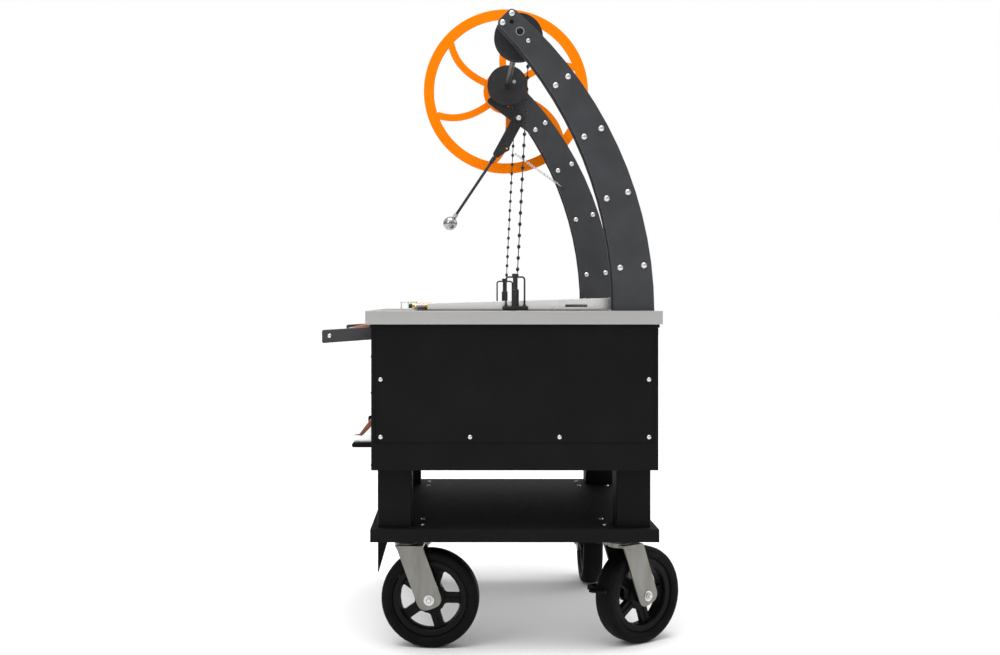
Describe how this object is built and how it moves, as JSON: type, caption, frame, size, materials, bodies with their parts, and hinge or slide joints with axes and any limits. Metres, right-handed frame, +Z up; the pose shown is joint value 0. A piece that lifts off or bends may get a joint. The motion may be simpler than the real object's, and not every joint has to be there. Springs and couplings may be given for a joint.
{
  "type": "open fire grill cart",
  "caption": "Open-fire grill on swivel casters: black firebox, stainless deck, curved arms, chain-hung grate raised by an orange flywheel, brake lever and ash drawer.",
  "frame": {"origin": "on the floor, under the middle of the outer box that the whole grill fills at rest", "axes": "+Z up, -Y towards the person who cooks, +X to their right; the flywheel is on the -X side"},
  "size_m": [1.005, 0.9418, 1.846],
  "materials": {
    "body_black": "satin black powder coat",
    "arm_grey": "satin charcoal powder coat",
    "stainless": "brushed stainless steel",
    "zinc": "bright zinc plate",
    "orange": "semi-gloss orange powder coat",
    "black_steel": "blackened steel",
    "firebrick": "unglazed refractory brick",
    "rubber": "matt black rubber",
    "nylon": "moulded black nylon",
    "chrome": "polished",
    "hardwood": "oiled reddish hardwood",
    "spring": "drawn spring wire"
  },
  "bodies": {
    "cart": {"arm_inner_plate_left": "arm_grey", "arm_inner_plate_right": "arm_grey", "arm_outer_plate_left": "arm_grey", "arm_outer_plate_right": "arm_grey", "bearing_left": "zinc", "bearing_right": "zinc", "brake_band": "black_steel", "brake_spring": "spring", "caster_plate_front_left": "black_steel", "caster_plate_front_right": "black_steel", "caster_plate_rear_left": "black_steel", "caster_plate_rear_right": "black_steel", "charcoal_grate": "black_steel", "firebox": "body_black", "firebrick_lining": "firebrick", "front_bracket_left": "arm_grey", "front_bracket_right": "arm_grey", "leg_front_left": "body_black", "leg_front_right": "body_black", "leg_rear_left": "body_black", "leg_rear_right": "body_black", "lift_chain_left": "black_steel", "lift_chain_right": "black_steel", "lower_tray": "body_black", "push_bar": "hardwood", "side_cover_left": "body_black", "side_cover_right": "body_black", "tool_rail": "stainless", "top_rim": "stainless"},
    "winch": {"winch_shaft": "black_steel", "flywheel": "orange", "flywheel_nut": "zinc", "chain_spool_right": "black_steel", "chain_spool_left": "black_steel"},
    "grate": {"grate_frame": "stainless", "grate_channels": "stainless", "grease_trough": "stainless", "lift_yoke_right": "black_steel", "lift_yoke_left": "black_steel", "coil_grip_right": "stainless", "coil_grip_left": "stainless"},
    "brake": {"brake_lever": "black_steel", "brake_rod": "black_steel", "brake_knob": "chrome"},
    "drawer": {"ash_drawer": "body_black", "drawer_pull": "hardwood"},
    "swivel_front_right": {"caster_fork_front_right": "zinc"},
    "wheel_front_right": {"wheel_core_front_right": "nylon", "wheel_tyre_front_right": "rubber"},
    "swivel_front_left": {"caster_fork_front_left": "zinc"},
    "wheel_front_left": {"wheel_core_front_left": "nylon", "wheel_tyre_front_left": "rubber"},
    "swivel_rear_right": {"caster_fork_rear_right": "zinc"},
    "wheel_rear_right": {"wheel_core_rear_right": "nylon", "wheel_tyre_rear_right": "rubber"},
    "swivel_rear_left": {"caster_fork_rear_left": "zinc"},
    "wheel_rear_left": {"wheel_core_rear_left": "nylon", "wheel_tyre_rear_left": "rubber"},
    "pedal_rear_right": {"brake_pedal_rear_right": "body_black"},
    "pedal_rear_left": {"brake_pedal_rear_left": "body_black"}
  },
  "joints": [
    {"name": "winch_turn", "type": "hinge", "parent": "cart", "child": "winch", "pos_m": [0.0335, 0.03815, 1.579], "axis": [1, 0, 0], "range_deg": [0, 742]},
    {"name": "grate_lift", "type": "slide", "parent": "cart", "child": "grate", "axis": [0, 0, 1], "range_m": [0, 0.35], "deforming": ["lift_chain_right", "lift_chain_left"]},
    {"name": "brake_release", "type": "hinge", "parent": "cart", "child": "brake", "pos_m": [-0.347, 0.07415, 1.478], "axis": [1, 0, 0], "range_deg": [-7, 0], "stiffness_Nm_per_rad": 1, "springref_deg": 11.46},
    {"name": "drawer_slide", "type": "slide", "parent": "cart", "child": "drawer", "axis": [0, -1, 0], "range_m": [0, 0.4]},
    {"name": "swivel_front_right", "type": "hinge", "parent": "cart", "child": "swivel_front_right", "pos_m": [0.3785, -0.25355, 0.27], "axis": [0, 0, 1], "continuous": true},
    {"name": "wheel_front_right", "type": "hinge", "parent": "swivel_front_right", "child": "wheel_front_right", "pos_m": [0.38408, -0.18979, 0.127], "axis": [-0.9962, 0.0872, 0], "continuous": true},
    {"name": "swivel_front_left", "type": "hinge", "parent": "cart", "child": "swivel_front_left", "pos_m": [-0.3115, -0.25355, 0.27], "axis": [0, 0, 1], "continuous": true},
    {"name": "wheel_front_left", "type": "hinge", "parent": "swivel_front_left", "child": "wheel_front_left", "pos_m": [-0.3755, -0.25355, 0.127], "axis": [0, -1, 0], "continuous": true},
    {"name": "swivel_rear_right", "type": "hinge", "parent": "cart", "child": "swivel_rear_right", "pos_m": [0.3785, 0.30245, 0.27], "axis": [0, 0, 1], "continuous": true},
    {"name": "wheel_rear_right", "type": "hinge", "parent": "swivel_rear_right", "child": "wheel_rear_right", "pos_m": [0.34179, 0.35487, 0.127], "axis": [-0.8192, -0.5736, 0], "continuous": true},
    {"name": "pedal_rear_right", "type": "hinge", "parent": "swivel_rear_right", "child": "pedal_rear_right", "pos_m": [0.34982, 0.34341, 0.152], "axis": [-0.8192, -0.5736, 0], "range_deg": [-7, 0], "stiffness_Nm_per_rad": 1, "springref_deg": 8.59},
    {"name": "swivel_rear_left", "type": "hinge", "parent": "cart", "child": "swivel_rear_left", "pos_m": [-0.3115, 0.30245, 0.27], "axis": [0, 0, 1], "continuous": true},
    {"name": "wheel_rear_left", "type": "hinge", "parent": "swivel_rear_left", "child": "wheel_rear_left", "pos_m": [-0.3755, 0.30245, 0.127], "axis": [0, -1, 0], "continuous": true},
    {"name": "pedal_rear_left", "type": "hinge", "parent": "swivel_rear_left", "child": "pedal_rear_left", "pos_m": [-0.3615, 0.30245, 0.152], "axis": [0, -1, 0], "range_deg": [-7, 0], "stiffness_Nm_per_rad": 1, "springref_deg": 8.59}
  ],
  "couplings": [
    {"joint": "grate_lift", "follows": "winch_turn", "m_per_rad": 0.027}
  ]
}
